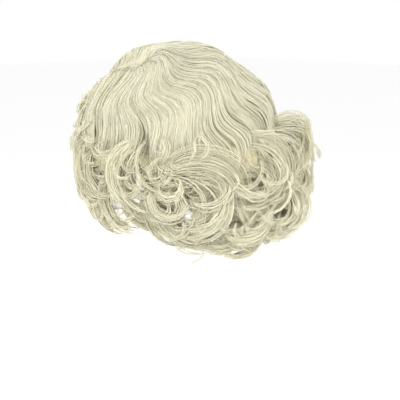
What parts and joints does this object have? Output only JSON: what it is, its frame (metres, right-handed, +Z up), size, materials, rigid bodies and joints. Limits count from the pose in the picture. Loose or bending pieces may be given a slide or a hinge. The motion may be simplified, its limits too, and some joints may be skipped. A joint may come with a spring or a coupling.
{
  "type": "short curly wig",
  "caption": "Short side-parted wig with finger-waved smooth hair over a hollow stretch cap and a deep fringe of curls round its lower half.",
  "frame": {"origin": "where the crown of the head touches the inside of the cap", "axes": "+Z up, the face looks along -Y, the wearer's left is +X"},
  "size_m": [0.2131, 0.2475, 0.2097],
  "materials": {
    "cap": "fine knitted stretch net, matt beige",
    "hair": "pale platinum synthetic fibre, soft silky sheen"
  },
  "bodies": {
    "root": {"cap": "cap", "left_waves": "hair", "crown_sweep": "hair", "left_front_curls": "hair", "left_side_curls": "hair", "back_curls": "hair", "right_side_curls": "hair", "right_front_curls": "hair", "fringe": "hair", "nape_curls": "hair"}
  },
  "joints": []
}
